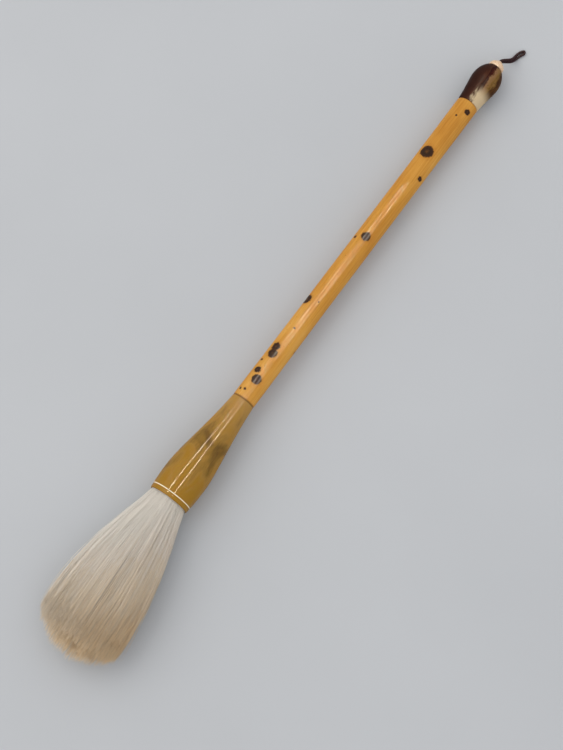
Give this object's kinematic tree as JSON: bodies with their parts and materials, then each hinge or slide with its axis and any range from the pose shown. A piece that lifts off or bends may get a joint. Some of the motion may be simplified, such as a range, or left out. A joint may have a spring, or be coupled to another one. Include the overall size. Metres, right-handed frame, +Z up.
{
  "type": "calligraphy brush",
  "caption": "Large calligraphy brush lying flat: spotted bamboo handle, turned horn ferrule and bulb finial, bone button, hanging cord loop and a wide soft hair tuft that bends at the ferrule.",
  "frame": {"origin": "on the surface the brush lies on, under the middle of its length, the cord loop left out", "axes": "+X from the hair tip towards the finial, +Y across, +Z up"},
  "size_m": [0.3078, 0.0346, 0.0209],
  "materials": {
    "bamboo": "varnished spotted bamboo",
    "ferrule_horn": "polished translucent amber horn",
    "finial_horn": "polished dark horn with pale clouds",
    "peg_wood": "plain wood",
    "bone": "polished bone",
    "cord": "braided dark cord",
    "rosin": "set rosin",
    "binding_thread": "waxed thread",
    "core_hair": "stiff brown hair",
    "cover_hair": "soft goat hair, off-white to tan"
  },
  "bodies": {
    "brush": {"bamboo_handle": "bamboo", "horn_ferrule": "ferrule_horn", "joint_peg": "peg_wood", "horn_finial": "finial_horn", "bone_button": "bone", "stopper_knot": "cord", "cord_tail_upper": "cord", "cord_tail_lower": "cord", "rosin_plug": "rosin", "root_binding": "binding_thread", "core_hair_root": "core_hair", "cover_hair_root": "cover_hair"},
    "tuft": {"core_hair": "core_hair", "cover_hair": "cover_hair"},
    "cord_loop": {"hanging_loop": "cord"}
  },
  "joints": [
    {"name": "tuft_bend", "type": "hinge", "parent": "brush", "child": "tuft", "pos_m": [-0.08535, 0, 0.00883], "axis": [0, 0, 1], "range_deg": [-40, 40], "stiffness_Nm_per_rad": 0.02},
    {"name": "loop_swing", "type": "hinge", "parent": "brush", "child": "cord_loop", "pos_m": [0.14713, 0, 0.00595], "axis": [0, 0, 1], "range_deg": [-60, 60]}
  ]
}
